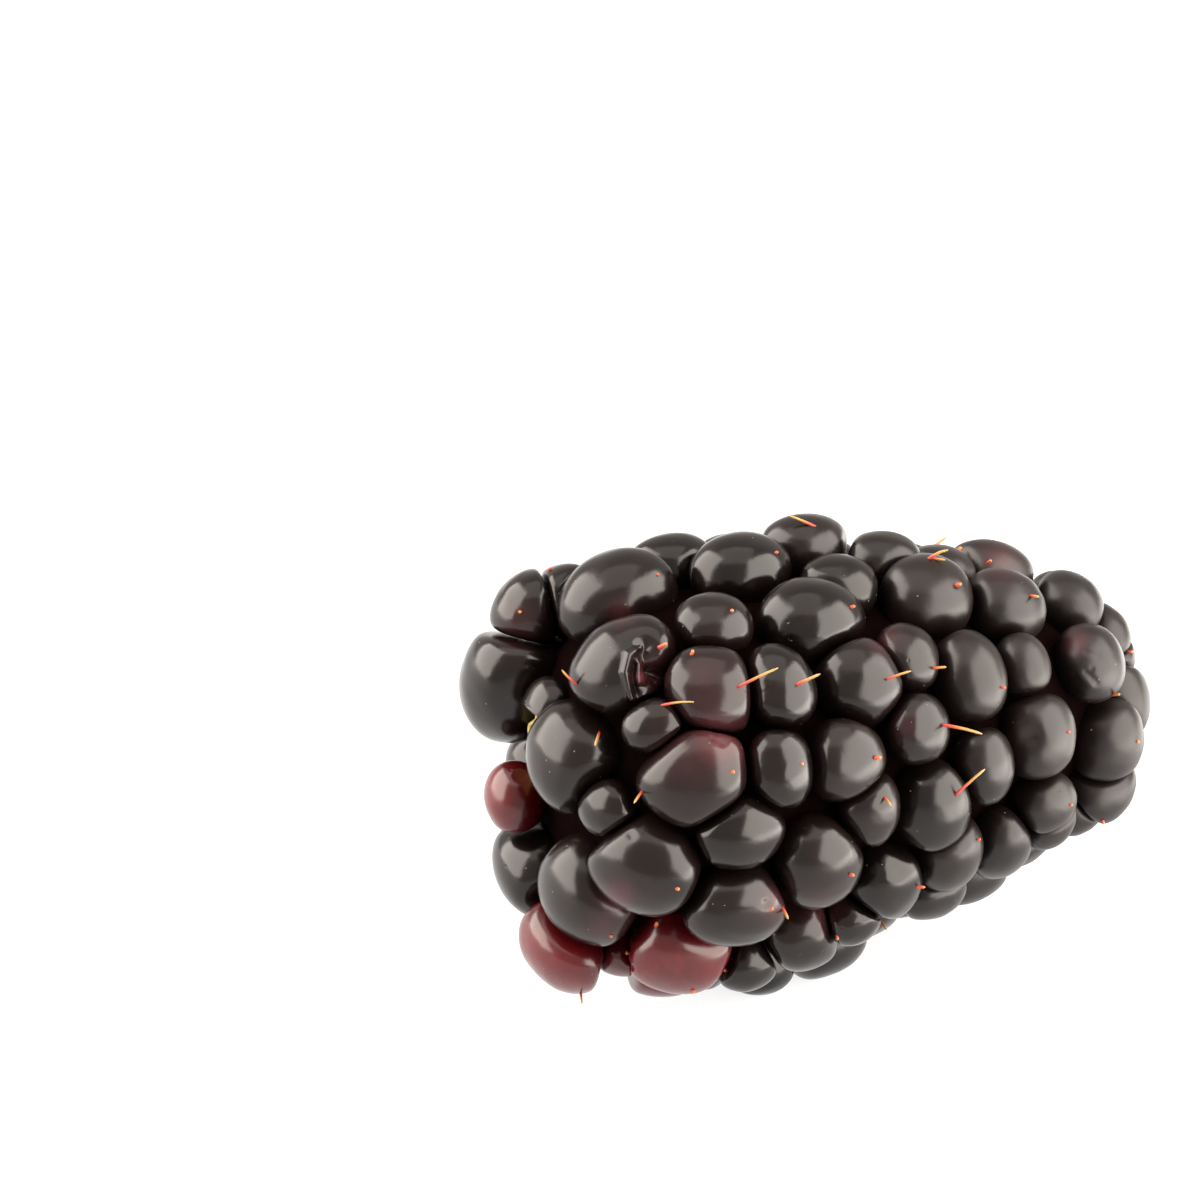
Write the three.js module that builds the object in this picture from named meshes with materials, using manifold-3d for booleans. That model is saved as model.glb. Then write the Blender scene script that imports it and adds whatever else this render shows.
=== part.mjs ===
// A ripe bramble berry, as picked, lying on its side. Millimetres.
// +X runs from the stem end to the tip, +Z is up, and the origin is on the surface the berry lies on,
// under the middle of its box.
import * as THREE from "three";
import { mergeVertices } from "three/addons/utils/BufferGeometryUtils.js";
import Module from "manifold-3d";

// The berry as a whole: an egg, blunt at the stem end, that the tops of the drupelets touch
const LENGTH = 34.5;
const MIDDLE_RADIUS = 10.7;
const TAPER = 0.27; // how much thinner the tip half is than the stem half
const BLUNTNESS = 3.1; // 2 is an ellipse, and more is squarer at the ends
const AXIS_TILT = THREE.MathUtils.degToRad(2); // the tip hangs lower than the stem end
const MIDDLE = new THREE.Vector3(0.08, -0.01, 11.6);
const CORE_SIDES = 12;
const CORE_RINGS = 10;
const CORE_DEPTH = 2.3; // how far the joined flesh lies under the tops of the drupelets

// Drupelets
const PRESSED = 1.25; // each drupelet would be this much wider if it grew alone
const JOINED = 1.07; // how far past the middle of a seam two joined drupelets reach
const SEAM_SHARPNESS = 8; // exponent that rounds the rims of the flattened sides
const NEIGHBOUR_REACH = 1.35; // neighbours are this many summed radii apart at most
const ROOT_DEPTH = 0.8; // how far each drupelet's root reaches into the core
const GAP = 0.3; // between drupelets that aren't joined
const STEM_END_RADIUS = 2.45; // hidden drupelets shrink from this at the stem end
const TIP_END_RADIUS = 1.75; // to this at the tip
const SIDES = 8; // facets round each drupelet
const RINGS = 5; // and from its top to its root

// Receptacle, the pale cut end in the hollow of the stem end
const RECEPTACLE_RADIUS = 1.9;
const RECEPTACLE_ACROSS = 1.2; // the hollow lies off the axis, to the far side
const RECEPTACLE_ABOVE = 1.8; // and above it
const RECEPTACLE_POINTS = 5;
const RECEPTACLE_POINT_HEIGHT = 0.16; // share of the radius
const RECEPTACLE_DEPTH = 2.4; // how far its end lies under the tops of the drupelets
const RECEPTACLE_LENGTH = 5;
const RECEPTACLE_SIDES = 30;

// The reference view, in pixels of a square picture, that the drupelets on the near side are read from
const VIEW_AZIMUTH = THREE.MathUtils.degToRad(-24);
const VIEW_ELEVATION = THREE.MathUtils.degToRad(28);
const VIEW_DISTANCE = 200;
const PICTURE_SIDE = 1200;
const MM_PER_PIXEL = 0.05;
const MIDDLE_PIXEL = { x: 826, y: 738 };

// Each drupelet of the near side: its centre and its width and height in pixels, and where it needs
// them, how many mm it lies behind or nearer than the first place that the line of sight meets, how
// many mm deeper than its neighbours it sits, and its kind
const SEEN = [
  { x: 515, y: 678, wide: 86, tall: 122 },
  { x: 489, y: 592, wide: 76, tall: 76, behind: 0.5, sunk: -0.9 },
  { x: 549, y: 598, wide: 60, tall: 84, behind: 1, sunk: -0.3 },
  { x: 618, y: 599, wide: 106, tall: 78 },
  { x: 628, y: 668, wide: 100, tall: 76 },
  { x: 668, y: 566, wide: 84, tall: 66, behind: 1 },
  { x: 742, y: 574, wide: 92, tall: 72 },
  { x: 722, y: 546, wide: 76, tall: 64, behind: 3 },
  { x: 713, y: 627, wide: 62, tall: 58, sunk: 0.4 },
  { x: 708, y: 695, wide: 92, tall: 84 },
  { x: 655, y: 725, wide: 50, tall: 40, sunk: 0.8 },
  { x: 778, y: 690, wide: 54, tall: 76 },
  { x: 698, y: 773, wide: 106, tall: 98 },
  { x: 578, y: 757, wide: 92, tall: 98 },
  { x: 548, y: 712, wide: 50, tall: 50, sunk: 1.2 },
  { x: 515, y: 798, wide: 58, tall: 62, kind: "red shoulder" },
  { x: 539, y: 867, wide: 72, tall: 98 },
  { x: 593, y: 891, wide: 96, tall: 102 },
  { x: 648, y: 861, wide: 102, tall: 88 },
  { x: 572, y: 941, wide: 88, tall: 100, nearer: 0.8, kind: "red" },
  { x: 682, y: 942, wide: 112, tall: 84, kind: "red" },
  { x: 670, y: 944, wide: 96, tall: 84, behind: 3.4, kind: "red" },
  { x: 618, y: 948, wide: 46, tall: 60, sunk: 1.4, kind: "red" },
  { x: 734, y: 902, wide: 92, tall: 70 },
  { x: 608, y: 808, wide: 50, tall: 44, sunk: 1 },
  { x: 738, y: 830, wide: 74, tall: 62, sunk: 0.5 },
  { x: 778, y: 767, wide: 54, tall: 70, sunk: 0.2 },
  { x: 816, y: 859, wide: 80, tall: 84 },
  { x: 800, y: 930, wide: 88, tall: 60 },
  { x: 752, y: 955, wide: 56, tall: 50, behind: 2 },
  { x: 820, y: 948, wide: 90, tall: 80, behind: 4 },
  { x: 762, y: 962, wide: 60, tall: 54, behind: 3.5 },
  { x: 882, y: 880, wide: 70, tall: 80 },
  { x: 806, y: 551, wide: 84, tall: 64 },
  { x: 828, y: 550, wide: 70, tall: 60, behind: 4 },
  { x: 882, y: 567, wide: 74, tall: 62, behind: 0.5 },
  { x: 838, y: 588, wide: 72, tall: 54, sunk: 0.4 },
  { x: 812, y: 625, wide: 94, tall: 82 },
  { x: 925, y: 598, wide: 85, tall: 83 },
  { x: 996, y: 572, wide: 88, tall: 64, behind: 0.3 },
  { x: 1003, y: 607, wide: 73, tall: 72 },
  { x: 1068, y: 605, wide: 64, tall: 68 },
  { x: 1082, y: 592, wide: 60, tall: 60, behind: 2 },
  { x: 1104, y: 632, wide: 46, tall: 62, behind: 1 },
  { x: 1126, y: 650, wide: 60, tall: 66, behind: 2 },
  { x: 1124, y: 702, wide: 54, tall: 80, behind: 1 },
  { x: 1128, y: 730, wide: 52, tall: 64, behind: 3.5 },
  { x: 1090, y: 663, wide: 64, tall: 68 },
  { x: 1023, y: 665, wide: 42, tall: 56, sunk: 0.3 },
  { x: 968, y: 677, wide: 56, tall: 80 },
  { x: 905, y: 660, wide: 58, tall: 60, sunk: 0.2 },
  { x: 858, y: 684, wide: 84, tall: 82 },
  { x: 915, y: 728, wide: 57, tall: 62 },
  { x: 842, y: 760, wide: 75, tall: 70 },
  { x: 1037, y: 735, wide: 66, tall: 78 },
  { x: 1106, y: 742, wide: 62, tall: 84 },
  { x: 982, y: 765, wide: 54, tall: 66, sunk: 0.2 },
  { x: 930, y: 805, wide: 62, tall: 86 },
  { x: 868, y: 808, wide: 46, tall: 64, sunk: 0.3 },
  { x: 1045, y: 803, wide: 56, tall: 56 },
  { x: 1101, y: 789, wide: 70, tall: 60 },
  { x: 1075, y: 805, wide: 60, tall: 58, behind: 2 },
  { x: 998, y: 842, wide: 58, tall: 72 },
  { x: 945, y: 852, wide: 64, tall: 74 },
  { x: 1026, y: 813, wide: 50, tall: 54, behind: 2.2 },
  { x: 980, y: 878, wide: 80, tall: 66, behind: 1.5 },
  { x: 926, y: 881, wide: 66, tall: 56, behind: 1.5 },
  { x: 852, y: 894, wide: 50, tall: 46, behind: 3.2 },
];
const LEAST_SHARE = 0.8; // a drupelet seen edge on is at least this share of its other side

// Hidden sides
const RANDOM_SEED = 2207;
const NEAR_SIDE = 0.3; // cosine from the line of sight, past which only what is seen is placed
const TRIED_PLACES = 1400;
const LEAST_HOLE = 0.64; // the smallest hole that gets a drupelet, as a share of its usual radius
const SIZE_VARIATION = 0.08;
const RELAX_ROUNDS = 20;
const RELAXED_SPACING = 0.97;
const ROOM_NEIGHBOURS = 5;
const LEAST_SWELLING = 0.85;
const MOST_SWELLING = 1.2;
const OUTLINE_SUNK = 0.8; // hidden drupelets lie this much deeper right beside the outline
const OUTLINE_BAND = 0.6; // cosine from the line of sight, past which they lie no deeper

// Resting
const FOOT_REACH = 1.3; // drupelets within this of the surface come down onto it
const FOOT_FLAT = 0.18; // how much of each foot is pressed flat

const SAME_PLACE = 1e-4; // corners nearer than this are one corner

const random = randomNumbers(RANDOM_SEED);
const wasm = await Module();
wasm.setup();

// A small repeatable source of numbers from 0 to 1
function randomNumbers(seed) {
  const MULTIPLIER = 16807;
  const MODULUS = 2147483647;
  let state = seed;
  return () => {
    state = (state * MULTIPLIER) % MODULUS;
    return state / MODULUS;
  };
}

// The berry's own frame: along its axis, across it and above it
const along = new THREE.Vector3(Math.cos(AXIS_TILT), 0, -Math.sin(AXIS_TILT));
const across = new THREE.Vector3(0, 1, 0);
const above = new THREE.Vector3().crossVectors(along, across);
const bodyFrame = new THREE.Matrix4().makeBasis(along, across, above).setPosition(MIDDLE);
const bodyFrameInverse = bodyFrame.clone().invert();

// 1 on the egg `depth` under the tops of the drupelets, less inside it and more outside it
function eggSize(point, depth) {
  const local = point.clone().applyMatrix4(bodyFrameInverse);
  const lengthwise = local.x / (LENGTH / 2 - depth);
  const slimness = 1 - TAPER * THREE.MathUtils.clamp(lengthwise, -1, 1);
  const sideways = Math.hypot(local.y, local.z) / ((MIDDLE_RADIUS - depth) * slimness);
  return (Math.abs(lengthwise) ** BLUNTNESS + sideways ** BLUNTNESS) ** (1 / BLUNTNESS);
}

function ontoEgg(point, depth) {
  const ROUNDS = 8;
  const place = point.clone();
  for (let round = 0; round < ROUNDS; round += 1) {
    const size = eggSize(place, depth);
    place.sub(MIDDLE).divideScalar(size).add(MIDDLE);
  }
  return place;
}

function outwardAt(point, depth) {
  const STEP = 0.01;
  const slope = new THREE.Vector3();
  for (const axis of ["x", "y", "z"]) {
    const further = point.clone();
    const nearer = point.clone();
    further[axis] += STEP;
    nearer[axis] -= STEP;
    slope[axis] = eggSize(further, depth) - eggSize(nearer, depth);
  }
  return slope.normalize();
}

// The reference view: to the right, up and towards the eye
const viewRight = new THREE.Vector3(Math.cos(VIEW_AZIMUTH), Math.sin(VIEW_AZIMUTH), 0);
const viewTowards = new THREE.Vector3(
  Math.sin(VIEW_AZIMUTH) * Math.cos(VIEW_ELEVATION),
  -Math.cos(VIEW_AZIMUTH) * Math.cos(VIEW_ELEVATION),
  Math.sin(VIEW_ELEVATION),
);
const viewUp = new THREE.Vector3().crossVectors(viewTowards, viewRight);
const viewAim = MIDDLE.clone()
  .addScaledVector(viewRight, (PICTURE_SIDE / 2 - MIDDLE_PIXEL.x) * MM_PER_PIXEL)
  .addScaledVector(viewUp, (MIDDLE_PIXEL.y - PICTURE_SIDE / 2) * MM_PER_PIXEL);
const eye = viewAim.clone().addScaledVector(viewTowards, VIEW_DISTANCE);

// Where the line of sight through a pixel meets the egg, or passes it nearest
function placeOfPixel(x, y, depth) {
  const STEP = 0.05;
  const sight = viewAim.clone()
    .addScaledVector(viewRight, (x - PICTURE_SIDE / 2) * MM_PER_PIXEL)
    .addScaledVector(viewUp, (PICTURE_SIDE / 2 - y) * MM_PER_PIXEL)
    .sub(eye)
    .normalize();
  let nearest = Infinity;
  let place = null;
  for (let reach = VIEW_DISTANCE - LENGTH; reach < VIEW_DISTANCE + LENGTH; reach += STEP) {
    const point = eye.clone().addScaledVector(sight, reach);
    const size = eggSize(point, depth);
    if (size < nearest) {
      nearest = size;
      place = point;
    }
    if (size <= 1) break;
  }
  return place;
}

// A drupelet with its centre, its outward direction, and its radii along, round and out of the berry
function drupeletAt(centre, depth, radiusAlong, radiusRound, kind) {
  const outward = outwardAt(centre, depth);
  const round = new THREE.Vector3().crossVectors(outward, along).normalize();
  const lengthwise = new THREE.Vector3().crossVectors(round, outward);
  const radius = (radiusAlong + radiusRound) / 2;
  return { centre, outward, round, lengthwise, radiusAlong, radiusRound, radius, kind };
}

function seenDrupelet({ x, y, wide, tall, behind = 0, nearer = 0, sunk = 0, kind = "black" }) {
  const radiusAlong = Math.max(wide, LEAST_SHARE * tall) * MM_PER_PIXEL / 2;
  const radiusRound = Math.max(tall, LEAST_SHARE * wide) * MM_PER_PIXEL / 2;
  const depth = (radiusAlong + radiusRound) / 2 + sunk;
  let centre = placeOfPixel(x, y, depth);
  if (behind > 0) {
    centre = ontoEgg(centre.addScaledVector(viewTowards, -behind), depth);
  }
  centre.addScaledVector(viewTowards, nearer);
  return drupeletAt(centre, depth, radiusAlong, radiusRound, kind);
}

// The middle of the receptacle's cut end
function receptacleEnd() {
  const local = new THREE.Vector3(RECEPTACLE_DEPTH - LENGTH / 2, RECEPTACLE_ACROSS, RECEPTACLE_ABOVE);
  return local.applyMatrix4(bodyFrame);
}

function hiddenRadius(lengthwise) {
  const share = THREE.MathUtils.clamp(lengthwise / LENGTH + 0.5, 0, 1);
  return THREE.MathUtils.lerp(STEM_END_RADIUS, TIP_END_RADIUS, share);
}

// Evenly spread places on the egg, along a spiral from the stem end to the tip
function triedPlaces() {
  const GOLDEN_ANGLE = Math.PI * (3 - Math.sqrt(5));
  const places = [];
  for (let i = 0; i < TRIED_PLACES; i += 1) {
    const lengthwise = 2 * (i + 0.5) / TRIED_PLACES - 1;
    const sideways = Math.sqrt(1 - lengthwise ** 2);
    const turn = GOLDEN_ANGLE * i;
    const place = new THREE.Vector3(lengthwise, sideways * Math.cos(turn), sideways * Math.sin(turn));
    place.multiply(new THREE.Vector3(LENGTH / 2, MIDDLE_RADIUS, MIDDLE_RADIUS));
    const radius = hiddenRadius(place.x);
    const centre = ontoEgg(place.applyMatrix4(bodyFrame), radius);
    const facing = outwardAt(centre, radius).dot(viewTowards);
    if (facing < NEAR_SIDE) places.push({ centre, radius, room: Infinity });
  }
  return places;
}

// The largest hole left on the egg gets the next drupelet, until only small holes are left
function hiddenDrupelets(seen) {
  const places = triedPlaces();
  const found = [];
  const hollow = { centre: receptacleEnd(), radius: RECEPTACLE_RADIUS };
  let added = [hollow, ...seen];
  for (;;) {
    for (const place of places) {
      for (const other of added) {
        const room = place.centre.distanceTo(other.centre) - other.radius;
        place.room = Math.min(place.room, room);
      }
    }
    const roomiest = places.reduce((a, b) => (b.room / b.radius > a.room / a.radius ? b : a));
    const share = roomiest.room / roomiest.radius;
    if (share < LEAST_HOLE) break;
    const varied = 1 + SIZE_VARIATION * (2 * random() - 1);
    const radius = roomiest.radius * Math.min(share, 1) * varied;
    const next = drupeletAt(ontoEgg(roomiest.centre, radius), radius, radius, radius, "black");
    found.push(next);
    added = [next];
  }
  return relaxed([hollow, ...seen], found);
}

// Hidden drupelets push each other apart, then swell to the room that their neighbours leave them
function relaxed(seen, found) {
  const PUSH = 0.3;
  for (let round = 0; round < RELAX_ROUNDS; round += 1) {
    for (const one of found) {
      const move = new THREE.Vector3();
      for (const other of [...seen, ...found]) {
        if (other === one) continue;
        const apart = one.centre.clone().sub(other.centre);
        const wanted = RELAXED_SPACING * (one.radius + other.radius);
        const lack = wanted - apart.length();
        if (lack > 0) move.addScaledVector(apart.normalize(), lack * PUSH);
      }
      one.centre = ontoEgg(one.centre.add(move), one.radius);
    }
  }
  return found.map((one) => {
    const radius = swollenRadius(one, [...seen, ...found]);
    const depth = radius + sunkBesideOutline(one.centre, radius);
    return drupeletAt(ontoEgg(one.centre, depth), depth, radius, radius, one.kind);
  });
}

// A drupelet swells or shrinks to the room that its nearest neighbours leave it
function swollenRadius(one, drupelets) {
  const rooms = drupelets
    .filter((other) => other !== one)
    .map((other) => one.centre.distanceTo(other.centre) - other.radius)
    .sort((a, b) => a - b)
    .slice(0, ROOM_NEIGHBOURS);
  const room = rooms.reduce((sum, each) => sum + each) / ROOM_NEIGHBOURS;
  return THREE.MathUtils.clamp(room, LEAST_SWELLING * one.radius, MOST_SWELLING * one.radius);
}

// Hidden drupelets lie deeper beside the outline, which the ones in view make
function sunkBesideOutline(centre, radius) {
  const facing = Math.abs(outwardAt(centre, radius).dot(viewTowards));
  return OUTLINE_SUNK * Math.max(1 - facing / OUTLINE_BAND, 0);
}

// Drupelets that nearly reach the surface come down onto it, so that several carry the berry
function standOnFeet(drupelets) {
  for (const one of drupelets) {
    const drop = Math.hypot(
      one.lengthwise.z * one.radiusAlong * PRESSED,
      one.round.z * one.radiusRound * PRESSED,
      one.outward.z * one.radius,
    );
    const lowest = one.centre.z - drop;
    if (lowest < FOOT_REACH) one.centre.z -= lowest + FOOT_FLAT;
  }
}

function distanceToCore(one) {
  const size = eggSize(one.centre, CORE_DEPTH);
  return one.centre.distanceTo(MIDDLE) * (1 - 1 / size);
}

// Planes halfway between a drupelet and each neighbour, as directions and distances from its centre
function seamsOf(one, drupelets) {
  const seams = [];
  for (const other of drupelets) {
    const apart = other.centre.clone().sub(one.centre);
    const distance = apart.length();
    if (other === one || distance > NEIGHBOUR_REACH * (one.radius + other.radius)) continue;
    const middle = distance * one.radius / (one.radius + other.radius);
    const reach = other.kind === one.kind ? middle * JOINED : middle - GAP / 2;
    seams.push({ direction: apart.normalize(), reach });
  }
  return seams;
}

// A plump bead, flattened where it is pressed against its neighbours, `extra` larger all round
function drupeletSolid(one, drupelets, extra = 0) {
  const seams = seamsOf(one, drupelets);
  const rootLength = Math.max(one.radius, distanceToCore(one) + ROOT_DEPTH);
  const geometry = new THREE.SphereGeometry(1, SIDES, RINGS);
  const corners = geometry.attributes.position;
  const turned = new THREE.Matrix4().makeBasis(one.round, one.outward, one.lengthwise);
  for (let i = 0; i < corners.count; i += 1) {
    const local = new THREE.Vector3().fromBufferAttribute(corners, i);
    const direction = local.clone().applyMatrix4(turned);
    const alone = Math.hypot(
      local.x / (one.radiusRound * PRESSED),
      local.y / (local.y > 0 ? one.radius : rootLength),
      local.z / (one.radiusAlong * PRESSED),
    );
    let sum = alone ** SEAM_SHARPNESS;
    for (const seam of seams) {
      sum += Math.max(0, direction.dot(seam.direction) / seam.reach) ** SEAM_SHARPNESS;
    }
    const reach = sum ** (-1 / SEAM_SHARPNESS) + extra;
    const corner = direction.multiplyScalar(reach).add(one.centre);
    corners.setXYZ(i, corner.x, corner.y, corner.z);
  }
  return solidOf(geometry);
}

// The joined flesh that all drupelets are rooted in
function coreSolid() {
  const geometry = new THREE.SphereGeometry(1, CORE_SIDES, CORE_RINGS);
  geometry.rotateZ(Math.PI / 2);
  const corners = geometry.attributes.position;
  const point = new THREE.Vector3();
  for (let i = 0; i < corners.count; i += 1) {
    point.fromBufferAttribute(corners, i);
    point.set(point.x * LENGTH / 2, point.y * MIDDLE_RADIUS, point.z * MIDDLE_RADIUS);
    const place = ontoEgg(point.applyMatrix4(bodyFrame), CORE_DEPTH);
    corners.setXYZ(i, place.x, place.y, place.z);
  }
  return solidOf(geometry);
}

function solidOf(geometry) {
  const bare = geometry.clone();
  bare.deleteAttribute("normal");
  bare.deleteAttribute("uv");
  const merged = mergeVertices(bare, SAME_PLACE);
  const triVerts = Uint32Array.from(merged.index.array);
  const vertProperties = Float32Array.from(merged.attributes.position.array);
  return new wasm.Manifold(new wasm.Mesh({ numProp: 3, vertProperties, triVerts }));
}

function joined(solids) {
  return solids.reduce((all, solid) => all.add(solid));
}

// The receptacle: a slightly star-shaped plug along the berry's axis, `extra` larger all round
function receptacleSolid(extra = 0) {
  const outline = [];
  for (let i = 0; i < RECEPTACLE_SIDES; i += 1) {
    const turn = 2 * Math.PI * i / RECEPTACLE_SIDES;
    const reach = RECEPTACLE_RADIUS * (1 + RECEPTACLE_POINT_HEIGHT * Math.cos(RECEPTACLE_POINTS * turn));
    outline.push(new THREE.Vector2(Math.cos(turn), Math.sin(turn)).multiplyScalar(reach + extra));
  }
  const depth = RECEPTACLE_LENGTH + (extra > 0 ? extra + RECEPTACLE_DEPTH : 0);
  const geometry = new THREE.ExtrudeGeometry(new THREE.Shape(outline), { depth, bevelEnabled: false });
  geometry.rotateY(Math.PI / 2);
  geometry.translate(-LENGTH / 2 + (extra > 0 ? 0 : RECEPTACLE_DEPTH), RECEPTACLE_ACROSS, RECEPTACLE_ABOVE);
  geometry.applyMatrix4(bodyFrame);
  return solidOf(geometry);
}

// Everything under the surface that the berry lies on
function groundSolid() {
  const SIDE = 4 * LENGTH;
  const geometry = new THREE.BoxGeometry(SIDE, SIDE, SIDE);
  geometry.translate(0, 0, -SIDE / 2);
  return solidOf(geometry);
}

function named(name, solid, colour, roughness) {
  const { vertProperties, triVerts, numProp } = solid.getMesh();
  const geometry = new THREE.BufferGeometry();
  const places = new Float32Array(vertProperties.length / numProp * 3);
  for (let i = 0; i < places.length / 3; i += 1) {
    places.set(vertProperties.subarray(i * numProp, i * numProp + 3), i * 3);
  }
  geometry.setAttribute("position", new THREE.BufferAttribute(places, 3));
  geometry.setIndex(new THREE.BufferAttribute(Uint32Array.from(triVerts), 1));
  geometry.computeVertexNormals();
  const material = new THREE.MeshStandardMaterial({ color: colour, roughness, metalness: 0 });
  const mesh = new THREE.Mesh(geometry, material);
  mesh.name = name;
  return mesh;
}

const seenOnes = SEEN.map(seenDrupelet);
const drupelets = [...seenOnes, ...hiddenDrupelets(seenOnes)];
standOnFeet(drupelets);

function drupeletsOf(kind, extra) {
  return drupelets.filter((one) => one.kind === kind).map((one) => drupeletSolid(one, drupelets, extra));
}

const ground = groundSolid();
const core = coreSolid()
  .subtract(joined(drupeletsOf("red", GAP)))
  .subtract(joined(drupeletsOf("red shoulder", GAP)));
const black = joined([core, ...drupeletsOf("black")]).subtract(receptacleSolid(GAP)).subtract(ground);
const red = joined(drupeletsOf("red")).subtract(ground);
const shoulder = joined(drupeletsOf("red shoulder")).subtract(ground);

const berry = new THREE.Group();
berry.add(named("black_drupelets", black, 0x1c1418, 0.25));
berry.add(named("red_drupelets", red, 0x6e141a, 0.25));
berry.add(named("red_shoulder_drupelet", shoulder, 0x5a1018, 0.25));
berry.add(named("receptacle", receptacleSolid(), 0xa08a48, 0.8));

export default berry;
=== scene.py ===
# The looks of a ripe bramble berry, as picked, lying on its side.
# The berry is worked out in millimetres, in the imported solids' frame, and each mesh is written in metres.
import math

import bmesh
import bpy
import numpy as np
from mathutils import Matrix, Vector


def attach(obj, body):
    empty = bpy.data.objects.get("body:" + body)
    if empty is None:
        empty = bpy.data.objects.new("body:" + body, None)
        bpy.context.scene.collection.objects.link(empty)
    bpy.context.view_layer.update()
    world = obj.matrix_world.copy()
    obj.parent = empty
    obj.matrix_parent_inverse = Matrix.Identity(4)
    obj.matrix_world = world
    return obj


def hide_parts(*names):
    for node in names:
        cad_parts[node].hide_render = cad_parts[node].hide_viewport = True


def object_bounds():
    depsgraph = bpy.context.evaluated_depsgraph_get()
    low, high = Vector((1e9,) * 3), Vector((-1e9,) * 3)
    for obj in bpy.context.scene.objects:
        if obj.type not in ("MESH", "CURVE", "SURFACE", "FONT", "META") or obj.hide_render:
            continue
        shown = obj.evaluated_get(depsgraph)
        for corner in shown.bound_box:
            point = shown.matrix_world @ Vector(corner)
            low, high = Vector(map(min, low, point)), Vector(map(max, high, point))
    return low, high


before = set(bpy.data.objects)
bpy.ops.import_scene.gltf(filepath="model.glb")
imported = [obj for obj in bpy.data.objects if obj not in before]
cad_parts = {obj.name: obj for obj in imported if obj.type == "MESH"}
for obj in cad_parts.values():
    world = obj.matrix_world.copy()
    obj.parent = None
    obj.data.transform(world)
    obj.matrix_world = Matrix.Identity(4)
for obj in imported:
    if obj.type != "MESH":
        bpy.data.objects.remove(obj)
cad_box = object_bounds()

MM = 0.001

# The berry as a whole: an egg, blunt at the stem end, that the tops of the drupelets touch
LENGTH = 34.5
MIDDLE_RADIUS = 10.7
TAPER = 0.27
BLUNTNESS = 3.1
AXIS_TILT = math.radians(2)
MIDDLE = np.array([0.08, -0.01, 11.6])
ALONG = np.array([math.cos(AXIS_TILT), 0, -math.sin(AXIS_TILT)])
ACROSS = np.array([0.0, 1, 0])
ABOVE = np.cross(ALONG, ACROSS)
CORE_DEPTH = 2.3
CORE_SUNK = 0.5  # how much deeper the near-black core, painted shade seen between the drupelets, lies

# Drupelets
# How much wider than its measured width a drupelet would be if nothing pressed on it: where the surface
# under the berry is met, where neighbours are met, more for each mm that it sits deeper than they do,
# and on the far sides
SWOLLEN = 1.25
PLUMPNESS = 1.22
SUNKEN_PLUMPNESS = 0.14
HIDDEN_PLUMPNESS = 1.34
SEAM_SHARPNESS = 8
SEAM_CLEARANCE = 0.02
NEIGHBOUR_REACH = 1.35
ROOT_DEPTH = 0.8
GAP = 0.3
STEM_END_RADIUS = 2.45
TIP_END_RADIUS = 1.75
LEAST_SHARE = 0.8

# Receptacle
RECEPTACLE_RADIUS = 1.9
RECEPTACLE_ACROSS = 1.2
RECEPTACLE_ABOVE = 1.8
RECEPTACLE_POINTS = 5
RECEPTACLE_POINT_HEIGHT = 0.16
RECEPTACLE_DEPTH = 2.4
RECEPTACLE_LENGTH = 5
RECEPTACLE_CLEARANCE = 0.05
RIM_ROUNDING = 0.22
HOLLOW_DEPTH = 0.34

# The reference view, in pixels of a square picture
VIEW_AZIMUTH = math.radians(-24)
VIEW_ELEVATION = math.radians(28)
VIEW_DISTANCE = 200
PICTURE_SIDE = 1200
MM_PER_PIXEL = 0.05
MIDDLE_PIXEL = (826, 738)

# Hidden sides
RANDOM_SEED = 2207
NEAR_SIDE = 0.3
TRIED_PLACES = 1400
LEAST_HOLE = 0.64
SIZE_VARIATION = 0.08
RELAX_ROUNDS = 20
RELAXED_SPACING = 0.97
PUSH = 0.3
ROOM_NEIGHBOURS = 5
LEAST_SWELLING = 0.85
MOST_SWELLING = 1.2
OUTLINE_SUNK = 0.8
OUTLINE_BAND = 0.6

# Resting
FOOT_REACH = 1.3
FOOT_FLAT = 0.18

# How finely the skins are divided
PLAIN_NET, MARKED_NET, COLLAPSED_NET = 5, 6, 7
LUMP_HEIGHT = 0.016
LUMPS = ((0.5, 2.2), (0.3, 3.4), (0.2, 5.5), (0.08, 9.0))  # strength and number of waves

LIGHT_COLOUR = (1.0, 0.92, 0.84)

BLACK, RED, RED_SHOULDER = "black", "red", "red shoulder"


def seen(x, y, wide, tall, behind=0.0, nearer=0.0, sunk=0.0, kind=BLACK):
    return dict(x=x, y=y, wide=wide, tall=tall, behind=behind, nearer=nearer, sunk=sunk, kind=kind)


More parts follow.
